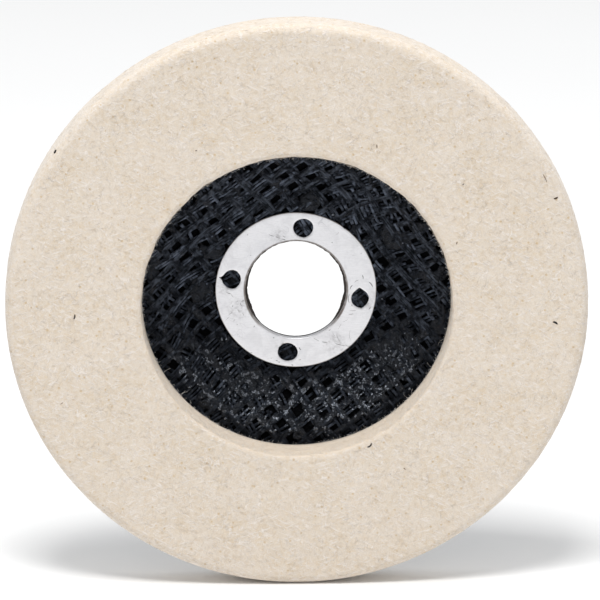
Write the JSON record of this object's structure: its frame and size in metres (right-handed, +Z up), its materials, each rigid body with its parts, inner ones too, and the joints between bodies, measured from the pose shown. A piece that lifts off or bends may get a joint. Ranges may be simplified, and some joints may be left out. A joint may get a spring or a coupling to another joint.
{
  "type": "felt polishing wheel",
  "caption": "Pressed wool felt polishing disc bonded to a black glass-mesh backing plate with a set-back hub and a metal-ringed arbor bore, for an angle grinder.",
  "frame": {"origin": "on the arbor bore's axis, at the rear face of the hub, where the grinder's backing flange seats", "axes": "+Y along the wheel's axis towards the grinder, so the felt's working face looks along -Y; +Z up, with the first anchor hole of the ring 7.8 degrees clockwise of it seen from the front"},
  "size_m": [0.127, 0.0165, 0.127],
  "materials": {
    "wool_felt": "pressed cream wool felt, fine short fibres, matt",
    "glue": "cured amber contact adhesive",
    "front_laminate": "open woven glass mesh in black phenolic resin, satin with small glints",
    "inner_laminate": "black resin-bonded glass mesh, satin",
    "cover_cloth": "thin black non-woven cloth pressed over the mesh",
    "ring_metal": "bright tinned sheet steel, fine rolling marks, handling scratches and small specks"
  },
  "bodies": {
    "root": {"felt_pad": "wool_felt", "adhesive_layer": "glue", "front_mesh_ply": "front_laminate", "second_mesh_ply": "inner_laminate", "third_mesh_ply": "inner_laminate", "rear_mesh_ply": "inner_laminate", "rear_cloth": "cover_cloth", "centre_ring": "ring_metal"}
  },
  "joints": []
}
